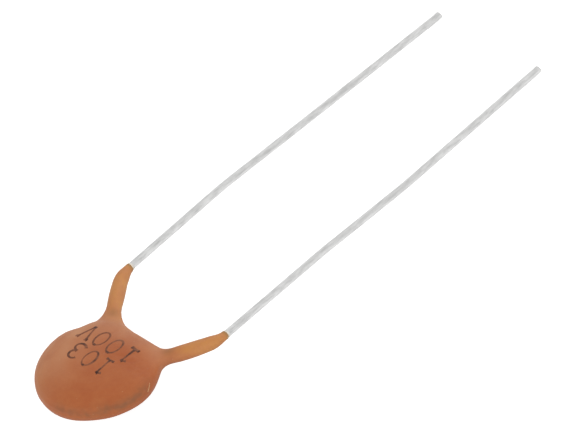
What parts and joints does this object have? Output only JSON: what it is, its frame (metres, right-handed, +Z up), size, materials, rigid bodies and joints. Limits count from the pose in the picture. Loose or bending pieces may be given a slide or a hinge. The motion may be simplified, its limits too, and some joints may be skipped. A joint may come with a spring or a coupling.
{
  "type": "ceramic disc capacitor",
  "caption": "Small lens-shaped ceramic disc capacitor in a tan resin coat that runs on to two splayed legs, with long parallel tinned wire leads.",
  "frame": {"origin": "on the surface that the part lies on, under the middle of its whole length and width", "axes": "+Z up, away from the surface; +Y along the leads, from the disc to the cut tips; +X from the upper lead to the lower lead"},
  "size_m": [0.0105, 0.0398, 0.0024],
  "materials": {
    "resin_coat": "satin, dipped and cured, with a waxy sheen",
    "tinned_wire": "dull bright, hot tinned",
    "fired_ceramic": "matt, as fired",
    "fired_silver": "matt, screen printed and fired",
    "soft_solder": "satin, as set"
  },
  "bodies": {
    "root": {"coating": "resin_coat", "ceramic_disc": "fired_ceramic", "upper_electrode": "fired_silver", "lower_electrode": "fired_silver", "upper_solder": "soft_solder", "lower_solder": "soft_solder", "upper_lead": "tinned_wire", "lower_lead": "tinned_wire"}
  },
  "joints": []
}
